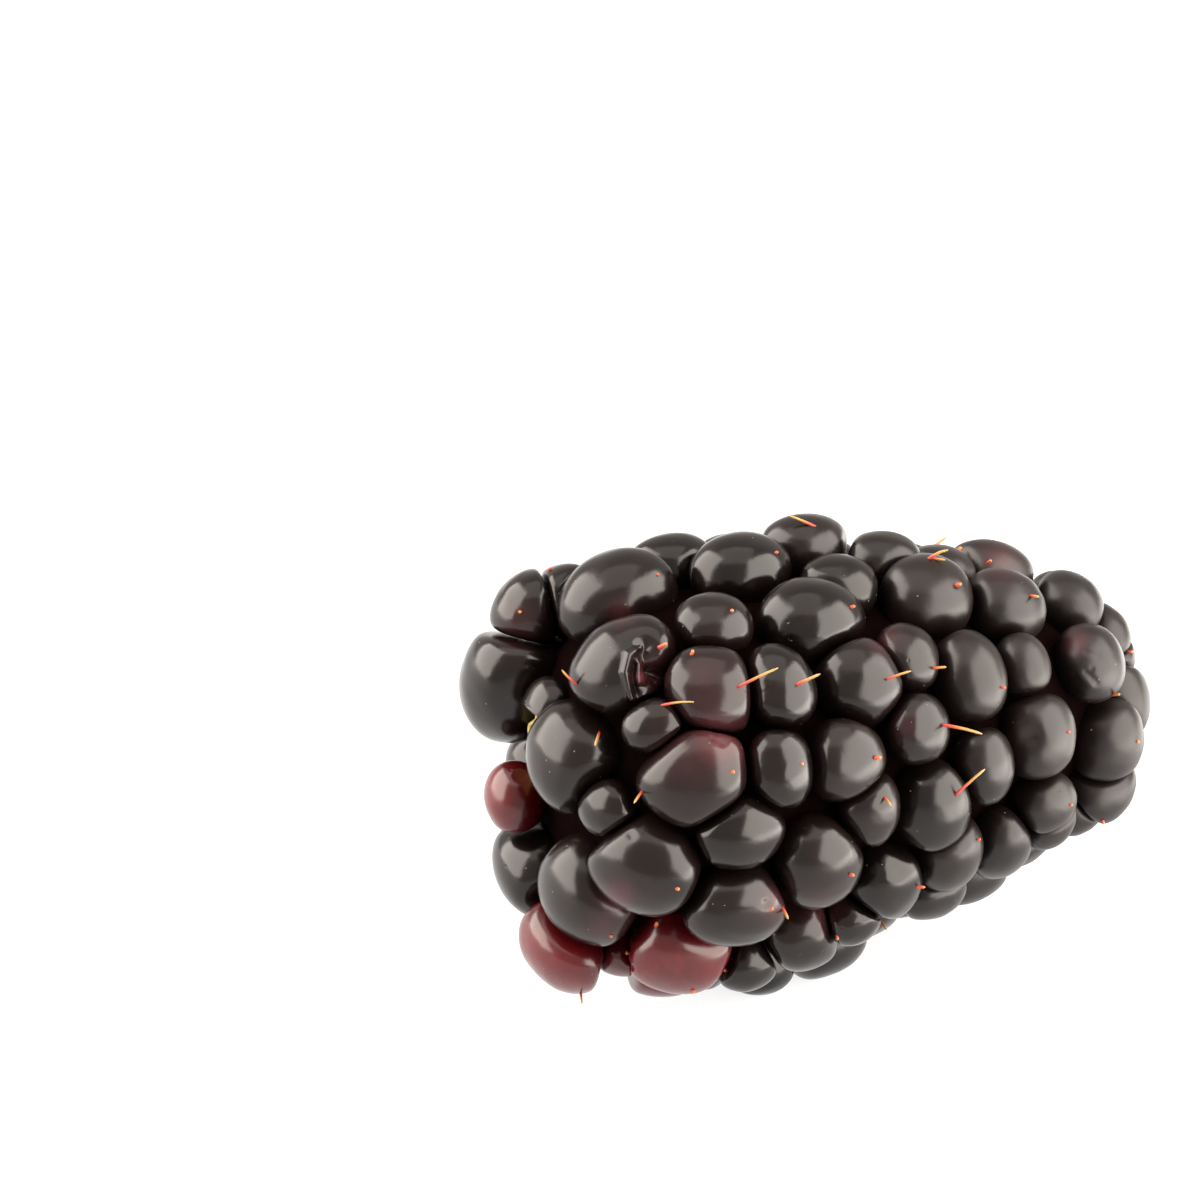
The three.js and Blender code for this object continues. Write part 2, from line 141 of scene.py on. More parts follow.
# Each drupelet of the near side: centre, width and height in pixels, then how many mm it lies behind or
# nearer than the place that the line of sight meets, and how much deeper than its neighbours it sits
SEEN = [
    seen(515, 678, 86, 122),
    seen(489, 592, 76, 76, behind=0.5, sunk=-0.9),
    seen(549, 598, 60, 84, behind=1, sunk=-0.3),
    seen(618, 599, 106, 78),
    seen(628, 668, 100, 76),
    seen(668, 566, 84, 66, behind=1),
    seen(742, 574, 92, 72),
    seen(722, 546, 76, 64, behind=3),
    seen(713, 627, 62, 58, sunk=0.4),
    seen(708, 695, 92, 84),
    seen(655, 725, 50, 40, sunk=0.8),
    seen(778, 690, 54, 76),
    seen(698, 773, 106, 98),
    seen(578, 757, 92, 98),
    seen(548, 712, 50, 50, sunk=1.2),
    seen(515, 798, 58, 62, kind=RED_SHOULDER),
    seen(539, 867, 72, 98),
    seen(593, 891, 96, 102),
    seen(648, 861, 102, 88),
    seen(572, 941, 88, 100, nearer=0.8, kind=RED),
    seen(682, 942, 112, 84, kind=RED),
    seen(670, 944, 96, 84, behind=3.4, kind=RED),
    seen(618, 948, 46, 60, sunk=1.4, kind=RED),
    seen(734, 902, 92, 70),
    seen(608, 808, 50, 44, sunk=1),
    seen(738, 830, 74, 62, sunk=0.5),
    seen(778, 767, 54, 70, sunk=0.2),
    seen(816, 859, 80, 84),
    seen(800, 930, 88, 60),
    seen(752, 955, 56, 50, behind=2),
    seen(820, 948, 90, 80, behind=4),
    seen(762, 962, 60, 54, behind=3.5),
    seen(882, 880, 70, 80),
    seen(806, 551, 84, 64),
    seen(828, 550, 70, 60, behind=4),
    seen(882, 567, 74, 62, behind=0.5),
    seen(838, 588, 72, 54, sunk=0.4),
    seen(812, 625, 94, 82),
    seen(925, 598, 85, 83),
    seen(996, 572, 88, 64, behind=0.3),
    seen(1003, 607, 73, 72),
    seen(1068, 605, 64, 68),
    seen(1082, 592, 60, 60, behind=2),
    seen(1104, 632, 46, 62, behind=1),
    seen(1126, 650, 60, 66, behind=2),
    seen(1124, 702, 54, 80, behind=1),
    seen(1128, 730, 52, 64, behind=3.5),
    seen(1090, 663, 64, 68),
    seen(1023, 665, 42, 56, sunk=0.3),
    seen(968, 677, 56, 80),
    seen(905, 660, 58, 60, sunk=0.2),
    seen(858, 684, 84, 82),
    seen(915, 728, 57, 62),
    seen(842, 760, 75, 70),
    seen(1037, 735, 66, 78),
    seen(1106, 742, 62, 84),
    seen(982, 765, 54, 66, sunk=0.2),
    seen(930, 805, 62, 86),
    seen(868, 808, 46, 64, sunk=0.3),
    seen(1045, 803, 56, 56),
    seen(1101, 789, 70, 60),
    seen(1075, 805, 60, 58, behind=2),
    seen(998, 842, 58, 72),
    seen(945, 852, 64, 74),
    seen(1026, 813, 50, 54, behind=2.2),
    seen(980, 878, 80, 66, behind=1.5),
    seen(926, 881, 66, 56, behind=1.5),
    seen(852, 894, 50, 46, behind=3.2),
]


def unit(vectors):
    return vectors / np.linalg.norm(vectors, axis=-1, keepdims=True)


def random_numbers(seed):
    """A small repeatable source of numbers from 0 to 1."""
    state = seed
    while True:
        state = state * 16807 % 2147483647
        yield state / 2147483647


# The egg

BODY_AXES = np.array([ALONG, ACROSS, ABOVE])


def in_berry(points):
    """Points as distances along, across and above the berry's axis."""
    return (points - MIDDLE) @ BODY_AXES.T


def from_berry(local):
    return np.asarray(local) @ BODY_AXES + MIDDLE


def egg_size(points, depth):
    """1 on the egg `depth` under the tops of the drupelets, less inside it and more outside it."""
    local = in_berry(points)
    lengthwise = local[..., 0] / (LENGTH / 2 - depth)
    slimness = 1 - TAPER * np.clip(lengthwise, -1, 1)
    sideways = np.hypot(local[..., 1], local[..., 2]) / ((MIDDLE_RADIUS - depth) * slimness)
    return (np.abs(lengthwise) ** BLUNTNESS + sideways ** BLUNTNESS) ** (1 / BLUNTNESS)


def onto_egg(points, depth):
    for _ in range(8):
        size = egg_size(points, depth)
        points = (points - MIDDLE) / np.expand_dims(size, -1) + MIDDLE
    return points


def outward_at(points, depth):
    step = 0.01
    slopes = [
        egg_size(points + step * axis, depth) - egg_size(points - step * axis, depth)
        for axis in np.eye(3)
    ]
    return unit(np.stack(slopes, axis=-1))


# The reference view

VIEW_RIGHT = np.array([math.cos(VIEW_AZIMUTH), math.sin(VIEW_AZIMUTH), 0])
VIEW_TOWARDS = np.array([
    math.sin(VIEW_AZIMUTH) * math.cos(VIEW_ELEVATION),
    -math.cos(VIEW_AZIMUTH) * math.cos(VIEW_ELEVATION),
    math.sin(VIEW_ELEVATION),
])
VIEW_UP = np.cross(VIEW_TOWARDS, VIEW_RIGHT)
VIEW_FRONT = np.array([math.sin(VIEW_AZIMUTH), -math.cos(VIEW_AZIMUTH), 0])
VIEW_AIM = (
    MIDDLE
    + VIEW_RIGHT * (PICTURE_SIDE / 2 - MIDDLE_PIXEL[0]) * MM_PER_PIXEL
    + VIEW_UP * (MIDDLE_PIXEL[1] - PICTURE_SIDE / 2) * MM_PER_PIXEL
)
EYE = VIEW_AIM + VIEW_TOWARDS * VIEW_DISTANCE


def sight_through(x, y):
    """The direction of the line of sight through a pixel."""
    place = (
        VIEW_AIM
        + VIEW_RIGHT * (x - PICTURE_SIDE / 2) * MM_PER_PIXEL
        + VIEW_UP * (PICTURE_SIDE / 2 - y) * MM_PER_PIXEL
    )
    return unit(place - EYE)


def place_of_pixel(x, y, depth):
    """Where the line of sight through a pixel meets the egg, or passes it nearest."""
    step = 0.05
    reaches = np.arange(VIEW_DISTANCE - LENGTH, VIEW_DISTANCE + LENGTH, step)
    points = EYE + sight_through(x, y) * reaches[:, None]
    sizes = egg_size(points, depth)
    inside = np.flatnonzero(sizes <= 1)
    return points[inside[0] if len(inside) else np.argmin(sizes)]


# Where the drupelets sit

class Drupelet:
    """A drupelet's centre, its radii along and round the berry, and its own axes."""

    def __init__(self, centre, depth, radius_along, radius_round, kind, sunk=0.0):
        self.centre = centre
        self.radius_along = radius_along
        self.radius_round = radius_round
        self.radius = (radius_along + radius_round) / 2
        self.kind = kind
        self.plumpness = PLUMPNESS + SUNKEN_PLUMPNESS * max(sunk, 0)
        self.outward = outward_at(centre, depth)
        self.round = unit(np.cross(self.outward, ALONG))
        self.lengthwise = np.cross(self.round, self.outward)


def seen_drupelet(x, y, wide, tall, behind, nearer, sunk, kind):
    radius_along = max(wide, LEAST_SHARE * tall) * MM_PER_PIXEL / 2
    radius_round = max(tall, LEAST_SHARE * wide) * MM_PER_PIXEL / 2
    depth = (radius_along + radius_round) / 2 + sunk
    centre = place_of_pixel(x, y, depth)
    if behind > 0:
        centre = onto_egg(centre - VIEW_TOWARDS * behind, depth)
    return Drupelet(centre + VIEW_TOWARDS * nearer, depth, radius_along, radius_round, kind, sunk)


def receptacle_end():
    return from_berry([RECEPTACLE_DEPTH - LENGTH / 2, RECEPTACLE_ACROSS, RECEPTACLE_ABOVE])


def tried_places():
    """Evenly spread places on the egg's far sides, with the usual radius of a drupelet there."""
    turn_step = math.pi * (3 - math.sqrt(5))
    i = np.arange(TRIED_PLACES)
    lengthwise = 2 * (i + 0.5) / TRIED_PLACES - 1
    sideways = np.sqrt(1 - lengthwise ** 2) * MIDDLE_RADIUS
    local = np.stack([
        lengthwise * LENGTH / 2,
        sideways * np.cos(turn_step * i),
        sideways * np.sin(turn_step * i),
    ], axis=1)
    share = np.clip(local[:, 0] / LENGTH + 0.5, 0, 1)
    radii = STEM_END_RADIUS + (TIP_END_RADIUS - STEM_END_RADIUS) * share
    centres = np.array([onto_egg(place, radius) for place, radius in zip(from_berry(local), radii)])
    facing = np.array([outward_at(place, radius) @ VIEW_TOWARDS for place, radius in zip(centres, radii)])
    return centres[facing < NEAR_SIDE], radii[facing < NEAR_SIDE]


def hidden_drupelets(near_side):
    """The largest hole left on the egg gets the next drupelet, until only small holes are left."""
    random = random_numbers(RANDOM_SEED)
    centres, radii = tried_places()
    room = np.full(len(centres), np.inf)
    fixed_centres = np.array([receptacle_end(), *(one.centre for one in near_side)])
    fixed_radii = np.array([RECEPTACLE_RADIUS, *(one.radius for one in near_side)])
    found = []
    added = list(zip(fixed_centres, fixed_radii))
    while True:
        for centre, radius in added:
            room = np.minimum(room, np.linalg.norm(centres - centre, axis=1) - radius)
        roomiest = int(np.argmax(room / radii))
        share = room[roomiest] / radii[roomiest]
        if share < LEAST_HOLE:
            break
        varied = 1 + SIZE_VARIATION * (2 * next(random) - 1)
        radius = radii[roomiest] * min(share, 1) * varied
        added = [(onto_egg(centres[roomiest], radius), radius)]
        found += added
    return relaxed(fixed_centres, fixed_radii, found)


def relaxed(fixed_centres, fixed_radii, found):
    """Hidden drupelets push each other apart, then swell to the room that their neighbours leave them."""
    centres = np.array([*fixed_centres, *(centre for centre, _ in found)])
    radii = np.array([*fixed_radii, *(radius for _, radius in found)])
    hidden = range(len(fixed_centres), len(centres))
    for _ in range(RELAX_ROUNDS):
        for i in hidden:
            others = np.arange(len(centres)) != i
            apart = centres[i] - centres[others]
            lack = RELAXED_SPACING * (radii[i] + radii[others]) - np.linalg.norm(apart, axis=1)
            move = (unit(apart) * (np.maximum(lack, 0) * PUSH)[:, None]).sum(axis=0)
            centres[i] = onto_egg(centres[i] + move, radii[i])
    swollen = []
    for i in hidden:
        others = np.arange(len(centres)) != i
        rooms = np.sort(np.linalg.norm(centres[others] - centres[i], axis=1) - radii[others])
        radius = rooms[:ROOM_NEIGHBOURS].mean()
        radius = float(np.clip(radius, LEAST_SWELLING * radii[i], MOST_SWELLING * radii[i]))
        depth = radius + sunk_beside_outline(centres[i], radius)
        swollen.append(Drupelet(onto_egg(centres[i], depth), depth, radius, radius, BLACK))
    return swollen


def sunk_beside_outline(centre, radius):
    """Hidden drupelets lie deeper beside the outline, which the ones in view make."""
    facing = outward_at(centre, radius) @ VIEW_TOWARDS
    return OUTLINE_SUNK * max(1 - abs(facing) / OUTLINE_BAND, 0)


def stand_on_feet(drupelets):
    """Drupelets that nearly reach the surface come down onto it."""
    for one in drupelets:
        drop = math.hypot(
            one.lengthwise[2] * one.radius_along * SWOLLEN,
            one.round[2] * one.radius_round * SWOLLEN,
            one.outward[2] * one.radius,
        )
        lowest = one.centre[2] - drop
        if lowest < FOOT_REACH:
            one.centre = one.centre - [0, 0, lowest + FOOT_FLAT]


# The form of a drupelet

def find_seams(drupelets):
    """Planes halfway between each drupelet and its neighbours, as directions and distances."""
    for one in drupelets:
        one.seams = []
        for other in drupelets:
            apart = other.centre - one.centre
            distance = np.linalg.norm(apart)
            if other is one or distance > NEIGHBOUR_REACH * (one.radius + other.radius):
                continue
            middle = distance * one.radius / (one.radius + other.radius)
            clearance = SEAM_CLEARANCE if other.kind == one.kind else GAP / 2
            one.seams.append((apart / distance, middle - clearance))


def reach_of(one, directions):
    """How far a plump drupelet reaches each way, flattened where it is pressed against its neighbours."""
    core_distance = np.linalg.norm(one.centre - MIDDLE) * (1 - 1 / egg_size(one.centre, CORE_DEPTH))
    root_length = max(one.radius, core_distance + ROOT_DEPTH)
    outward = directions @ one.outward
    alone = np.sqrt(
        (directions @ one.round / (one.radius_round * one.plumpness)) ** 2
        + (outward / np.where(outward > 0, one.radius, root_length)) ** 2
        + (directions @ one.lengthwise / (one.radius_along * one.plumpness)) ** 2
    )
    total = alone ** SEAM_SHARPNESS
    for direction, reach in one.seams:
        total = total + np.maximum(0, directions @ direction / reach) ** SEAM_SHARPNESS
    return total ** (-1 / SEAM_SHARPNESS)


def met_first(x, y):
    """The drupelet that the line of sight through a pixel meets first, and where; or None."""
    sight = sight_through(x, y)
    reaches = np.arange(VIEW_DISTANCE - LENGTH, VIEW_DISTANCE + LENGTH, 0.02)
    points = EYE + sight * reaches[:, None]
    met, first = None, len(points)
    for one in drupelets:
        apart = points[:first] - one.centre
        distance = np.linalg.norm(apart, axis=1)
        near = np.flatnonzero(distance < 1.5 * one.radius)
        if not len(near):
            continue
        inside = near[distance[near] <= reach_of(one, apart[near] / distance[near, None])]
        if len(inside):
            met, first = one, inside[0]
    return (met, points[first]) if met else (None, None)


seen_ones = [seen_drupelet(**one) for one in SEEN]
hidden_ones = hidden_drupelets(seen_ones)
for one in hidden_ones:
    one.plumpness = HIDDEN_PLUMPNESS
drupelets = seen_ones + hidden_ones
stand_on_feet(drupelets)
find_seams(drupelets)

# Marks on the skins of the near side: the pixels that each runs through, its width in pixels and its
# depth in mm, less than 0 for a fold that stands up
MARKS = [
    # the collapsed drupelet: a hollow, and a slit between folds of its slack skin
    ([(646, 647), (650, 660), (656, 674)], 10, 0.6),
    ([(657, 674)], 10, 0.4),
    ([(635, 664), (633, 678), (636, 692)], 2.6, 0.4),
    ([(643, 645), (629, 655), (625, 672), (631, 694)], 4, -0.22),
    ([(632, 697), (650, 691), (666, 682)], 3.4, -0.2),
    ([(641, 688), (656, 684)], 3, 0.12),
    # a dimple in a drupelet of the tip half
    ([(1029, 738)], 14, 0.3),
    # slack skin near the tip
    ([(1081, 675), (1091, 685)], 4, -0.04),
    ([(1086, 672), (1096, 683)], 4, 0.06),
    ([(1092, 669)], 3, 0.04),
    ([(1086, 652), (1098, 656)], 3, 0.03),
    # the nicks that styles have left
    ([(714, 737), (722, 742)], 4, 0.12),
    ([(893, 866), (898, 872)], 8, 0.08),
    ([(628, 948), (624, 958), (630, 968)], 3, 0.2),
    ([(957, 585)], 4, 0.06),
    ([(631, 835)], 5, 0.06),
    ([(767, 903)], 5, 0.08),
]
COLLAPSED = (628, 668)
BLUSHES = [
    (640, 677, 7, 0.9),
    (708, 690, 44, 0.12),
    (702, 678, 24, 0.16),
    (718, 740, 26, 0.6),
    (695, 752, 36, 0.16),
    (621, 611, 12, 0.4),
    (617, 900, 17, 0.55),
    (604, 925, 16, 0.35),
    (518, 622, 22, 0.22),
    (884, 638, 16, 0.3),
    (1076, 641, 12, 0.45),
    (1000, 560, 20, 0.25),
    (775, 905, 16, 0.35),
    (822, 913, 18, 0.22),
    (650, 672, 16, 0.35),
    (905, 725, 14, 0.2),
]


def from_pixel(points, x, y):
    """How far points lie right of and above a pixel in the reference view, in pixels."""
    sights = points - EYE
    scale = VIEW_DISTANCE / -(sights @ VIEW_TOWARDS) / MM_PER_PIXEL
    right = (points - VIEW_AIM) @ VIEW_RIGHT * scale + PICTURE_SIDE / 2 - x
    up = (points - VIEW_AIM) @ VIEW_UP * scale - PICTURE_SIDE / 2 + y
    return right, up


def distance_to(path, x, y):
    """How far points lie from a path through pixels, in pixels. A path of one pixel is a spot."""
    nearest = np.full(len(x), np.inf)
    for (start_x, start_y), (end_x, end_y) in zip(path, path[1:] or path):
        run_x, run_y = end_x - start_x, end_y - start_y
        share = ((x - start_x) * run_x + (y - start_y) * run_y) / max(run_x ** 2 + run_y ** 2, 1)
        share = np.clip(share, 0, 1)
        nearest = np.minimum(nearest, np.hypot(x - start_x - share * run_x, y - start_y - share * run_y))
    return nearest


def marked(one, directions, reaches):
    """The marks that belong to this drupelet, pressed into it."""
    right, up = from_pixel(one.centre + directions * reaches[:, None], 0, 0)
    near_side = np.clip(directions @ VIEW_TOWARDS * 4, 0, 1)
    for path, width, depth in MARKS:
        if bearer_of(path) is one:
            profile = np.exp(-(distance_to(path, right, -up) / width) ** 2)
            reaches = reaches - depth * profile * near_side
    return reaches


def bearer_of(path):
    return met_first(*path[0])[0]


def blush_of(points, facing):
    """How unripe the skin is at each point, from 0 to 1."""
    blush = np.zeros(len(points))
    for x, y, radius, strength in BLUSHES:
        right, up = from_pixel(points, x, y)
        spot = strength * np.exp(-(np.hypot(right, up) / radius) ** 2) * np.clip(facing * 3, 0, 1)
        blush = np.maximum(blush, spot)
    return blush


def lumps(directions, one_random):
    """Gentle unevenness of a drupelet, different for each."""
    total = np.zeros(len(directions))
    for size, frequency in LUMPS:
        axis = unit(np.array([next(one_random) - 0.5 for _ in range(3)]))
        total += size * np.sin(frequency * (directions @ axis) * 2 + 6.3 * next(one_random))
    return total


def off_receptacle(one, points):
    """A drupelet beside the receptacle is pressed aside by it."""
    middle = np.array([RECEPTACLE_ACROSS, RECEPTACLE_ABOVE])
    away = unit(in_berry(one.centre)[1:] - middle)
    local = in_berry(points)
    along = (local[:, 1:] - middle) @ away
    across = (local[:, 1:] - middle) @ [-away[1], away[0]]
    room = RECEPTACLE_RADIUS * (1 + RECEPTACLE_POINT_HEIGHT) + RECEPTACLE_CLEARANCE
    wanted = np.sqrt(np.maximum(room ** 2 - across ** 2, 0))
    beside = local[:, 0] < -LENGTH / 2 + RECEPTACLE_DEPTH + RECEPTACLE_LENGTH
    push = np.where(beside & (np.abs(across) < room), np.maximum(wanted - along, 0), 0)
    local[:, 1:] += push[:, None] * away
    return from_berry(local)


def star_reach(turn):
    """The receptacle's outline."""
    return RECEPTACLE_RADIUS * (1 + RECEPTACLE_POINT_HEIGHT * np.cos(RECEPTACLE_POINTS * turn))


# Meshes

def bead_net(subdivisions):
    """Directions evenly spread all round, and the triangles between them."""
    net = bmesh.new()
    bmesh.ops.create_icosphere(net, subdivisions=subdivisions, radius=1)
    directions = np.array([tuple(v.co) for v in net.verts])
    triangles = np.array([[v.index for v in face.verts] for face in net.faces])
    net.free()
    return unit(directions), triangles


def piece(name, places, triangles, finish, measures):
    """A smooth mesh of the berry, with numbers at its corners for its finish to read."""
    mesh = bpy.data.meshes.new(name)
    mesh.vertices.add(len(places))
    mesh.vertices.foreach_set("co", (places * MM).astype(np.float32).ravel())
    mesh.loops.add(3 * len(triangles))
    mesh.loops.foreach_set("vertex_index", triangles.astype(np.int32).ravel())
    mesh.polygons.add(len(triangles))
    mesh.polygons.foreach_set("loop_start", np.arange(0, 3 * len(triangles), 3, dtype=np.int32))
    mesh.update(calc_edges=True)
    mesh.shade_smooth()
    for key, values in measures.items():
        mesh.attributes.new(key, "FLOAT", "POINT").data.foreach_set("value", values.astype(np.float32))
    mesh.materials.append(finish)
    made = bpy.data.objects.new(name, mesh)
    bpy.context.scene.collection.objects.link(made)
    return made


def joined(parts):
    """Several nets as one: each is its places, its triangles and its measures."""
    places, triangles, measures, count = [], [], {}, 0
    for part_places, part_triangles, part_measures in parts:
        places.append(part_places)
        triangles.append(part_triangles + count)
        count += len(part_places)
        for key, values in part_measures.items():
            measures.setdefault(key, []).append(values)
    return np.vstack(places), np.vstack(triangles), {k: np.concatenate(v) for k, v in measures.items()}


NETS = {}


def net_for(one):
    """Drupelets with marks get a finer net than the others."""
    fineness = MARKED_NET if one in marked_ones else PLAIN_NET
    if one is collapsed_one:
        fineness = COLLAPSED_NET
    if fineness not in NETS:
        NETS[fineness] = bead_net(fineness)
    return NETS[fineness]


def drupelet_mesh(one):
    number = drupelets.index(one)
    one_random = random_numbers(RANDOM_SEED + 31 * number)
    directions, triangles = net_for(one)
    reaches = reach_of(one, directions)
    reaches = reaches * (1 + LUMP_HEIGHT * lumps(directions, one_random))
    reaches = marked(one, directions, reaches)
    places = off_receptacle(one, one.centre + directions * reaches[:, None])
    places[:, 2] = np.maximum(places[:, 2], 0)
    measures = {
        "blush": blush_of(places, directions @ VIEW_TOWARDS),
        "own_tone": np.full(len(places), next(one_random)),
        "toward_tip": np.clip(in_berry(places)[:, 0] / LENGTH + 0.5, 0, 1),
        # how far round from its top a point lies; the red skin paints shade on the flanks with it
        "depth": np.clip(1 - directions @ one.outward, 0, 1),
    }
    return places, triangles, measures


marked_ones = {bearer_of(path) for path, *_ in MARKS}
collapsed_one = met_first(*COLLAPSED)[0]


# Finishes

class Socket:
    """An output of a shader node. Sums written on it become Math nodes."""

    def __init__(self, finish, socket):
        self.finish = finish
        self.socket = socket

    def sum(self, operation, *values):
        return self.finish.node("ShaderNodeMath", {"operation": operation}, dict(enumerate(values)))

    def __add__(self, other):
        return self.sum("ADD", self, other)

    def __sub__(self, other):
        return self.sum("SUBTRACT", self, other)

    def __rsub__(self, other):
        return self.sum("SUBTRACT", other, self)

    def __mul__(self, other):
        return self.sum("MULTIPLY", self, other)

    def __truediv__(self, other):
        return self.sum("DIVIDE", self, other)

    def __gt__(self, other):
        return self.sum("GREATER_THAN", self, other)

    def clamped(self):
        return self.finish.node("ShaderNodeClamp", {}, {"Value": self})

    __radd__ = __add__
    __rmul__ = __mul__


class Finish:
    """A procedural material. Constants go straight onto its shader."""

    def __init__(self, name, **constants):
        self.material = bpy.data.materials.new(name)
        self.material.use_nodes = True
        self.nodes = self.material.node_tree.nodes
        self.shader = self.nodes["Principled BSDF"]
        for socket, value in constants.items():
            self.shader.inputs[socket.replace("_", " ")].default_value = value

    def node(self, kind, settings, values, output=0):
        made = self.nodes.new(kind)
        for key, value in settings.items():
            if key == "stops":
                self.set_stops(made.color_ramp, value)
            else:
                setattr(made, key, value)
        for key, value in values.items():
            self.feed(made.inputs[key], value)
        return Socket(self, made.outputs[output])

    def set_stops(self, ramp, stops):
        while len(ramp.elements) < len(stops):
            ramp.elements.new(1)
        for element, (position, colour) in zip(ramp.elements, stops):
            element.position = position
            element.color = (*colour, 1)

    def feed(self, socket, value):
        if isinstance(value, Socket):
            self.material.node_tree.links.new(value.socket, socket)
        elif isinstance(value, tuple) and len(value) == 3 and socket.type == "RGBA":
            socket.default_value = (*value, 1)
        else:
            socket.default_value = value

    def place(self):
        return self.node("ShaderNodeTexCoord", {}, {}, "Object")

    def measure(self, name):
        return self.node("ShaderNodeAttribute", {"attribute_name": name}, {}, "Fac")

    def noise(self, feature, detail=2.0, roughness=0.5):
        """Cloudy noise from 0 to 1, with features of this many millimetres."""
        values = {"Vector": self.place(), "Scale": 1 / (feature * MM)}
        values.update({"Detail": detail, "Roughness": roughness})
        return self.node("ShaderNodeTexNoise", {"normalize": True}, values, 0)

    def specks(self, spacing, size, share):
        """Small round specks, this many millimetres apart, on this share of their places."""
        values = {"Vector": self.place(), "Scale": 1 / (spacing * MM)}
        near = self.node("ShaderNodeTexVoronoi", {}, values, "Distance")
        lot = self.node("ShaderNodeTexVoronoi", {}, values, "Color")
        lot = self.node("ShaderNodeSeparateColor", {}, {"Color": lot}, "Red")
        width = size / spacing
        return ((width * (0.4 + lot) - near) / (width * 0.5)).clamped() * (lot > 1 - share)

    def mix(self, share, one, other):
        settings = {"data_type": "RGBA", "clamp_factor": True}
        return self.node("ShaderNodeMix", settings, {"Factor": share, 6: one, 7: other}, 2)

    def bump(self, height, depth):
        """Relief of this many millimetres."""
        return self.node("ShaderNodeBump", {}, {"Height": height, "Distance": depth * MM, "Strength": 1.0})

    def wear(self, **values):
        """What varies over the surface."""
        for socket, value in values.items():
            self.feed(self.shader.inputs[socket.replace("_", " ")], value)
        return self.material


def black_skin():
    skin = Finish("black_skin", IOR=1.39)
    blush = skin.measure("blush")
    tone = skin.measure("own_tone")
    toward_tip = skin.measure("toward_tip")
    mottle = skin.noise(1.6, 4, 0.6)
    grain = skin.noise(0.22, 3, 0.55)
    pits = skin.specks(1.1, 0.09, 0.4)
    dust = skin.specks(0.55, 0.035, 0.22)
    ripe = skin.mix(tone, (0.0024, 0.0016, 0.0015), (0.0052, 0.0031, 0.0029))
    warm = skin.mix((mottle - 0.5).clamped() * 1.6, ripe, (0.013, 0.006, 0.0048))
    flushed = skin.mix(blush * (0.6 + 0.8 * mottle), warm, (0.075, 0.020, 0.024))
    colour = skin.mix(dust * 0.7, flushed, (0.16, 0.12, 0.085))
    dulled = ((toward_tip - 0.4) * 2.5).clamped()
    roughness = 0.15 + 0.19 * dulled + 0.06 * mottle + 0.04 * tone + 0.2 * dust
    height = grain * 0.35 + mottle * 0.5 - pits * 1.6 + dust * 0.8
    return skin.wear(Base_Color=colour, Roughness=roughness, Normal=skin.bump(height, 0.014))


def red_skin():
    skin = Finish("red_skin", IOR=1.47, Subsurface_Weight=0.15, Subsurface_Scale=1.2 * MM,
                  Subsurface_Radius=(1.0, 0.12, 0.12))
    cells = skin.noise(0.7, 3, 0.6)
    clouds = skin.noise(2.4, 2, 0.5)
    pits = skin.specks(1.2, 0.09, 0.4)
    dust = skin.specks(0.6, 0.035, 0.2)
    # Painted shade: the red skin darkens down a drupelet's flanks, toward the creases between drupelets
    depth = skin.measure("depth")
    deep = skin.mix(clouds, (0.045, 0.0013, 0.0026), (0.085, 0.003, 0.005))
    fleshy = skin.mix((cells - 0.5).clamped() * 1.2, deep, (0.13, 0.010, 0.013))
    shaded = skin.mix((depth - 0.5).clamped() * 1.4, fleshy, (0.022, 0.001, 0.002))
    colour = skin.mix(dust * 0.6, shaded, (0.35, 0.16, 0.12))
    roughness = 0.17 + 0.10 * cells + 0.2 * dust
    height = cells * 0.5 - pits * 1.4 + dust * 0.8
    return skin.wear(Base_Color=colour, Roughness=roughness, Normal=skin.bump(height, 0.012))


# Painted shade: near black, so that the gaps between the drupelets look shadowed
def gap_shade_finish():
    flesh = Finish("gap_shade_finish", Roughness=0.9, IOR=1.03)
    cells = flesh.noise(0.5, 4, 0.6)
    colour = flesh.mix(cells, (0.0012, 0.0006, 0.0006), (0.004, 0.0015, 0.0015))
    return flesh.wear(Base_Color=colour, Normal=flesh.bump(cells, 0.05))


def cut_flesh():
    flesh = Finish("pale_cut_flesh", IOR=1.42, Subsurface_Weight=0.12, Subsurface_Scale=0.8 * MM)
    from_middle = flesh.measure("from_middle")
    fibres = flesh.noise(0.16, 4, 0.65)
    blotches = flesh.noise(0.9, 3, 0.6)
    pith = flesh.mix(blotches, (0.30, 0.155, 0.035), (0.17, 0.065, 0.014))
    rimmed = flesh.mix((from_middle - 0.62).clamped() * 3, pith, (0.36, 0.30, 0.075))
    stained = flesh.mix((blotches - 0.55).clamped() * 4, rimmed, (0.20, 0.045, 0.010))
    fibrous = flesh.mix((fibres - 0.45).clamped() * 1.5, stained, (0.45, 0.34, 0.14))
    # Painted shade: the receptacle's sides, sunk among the drupelets, go near black
    colour = flesh.mix((from_middle - 1.1).clamped() * 5, fibrous, (0.012, 0.004, 0.003))
    roughness = 0.5 + 0.3 * fibres
    return flesh.wear(Base_Color=colour, Roughness=roughness, Normal=flesh.bump(fibres, 0.05))


def style_finish():
    style = Finish("red_and_yellow_style", IOR=1.45)
    up_style = style.measure("up_style")
    age = style.measure("age")
    streaks = style.noise(0.18, 2, 0.5)
    stops = [
        (0.0, (0.24, 0.010, 0.014)),
        (0.35, (0.36, 0.045, 0.022)),
        (0.65, (0.36, 0.15, 0.035)),
        (1.0, (0.34, 0.22, 0.075)),
    ]
    place = up_style * (0.45 + 0.9 * age) + 0.12 * (streaks - 0.5)
    fresh = style.node("ShaderNodeValToRGB", {"stops": stops}, {"Fac": place}, "Color")
    colour = style.mix((streaks - 0.55).clamped() * 2, fresh, (0.16, 0.05, 0.02))
    return style.wear(Base_Color=colour, Roughness=0.3 + 0.25 * streaks)


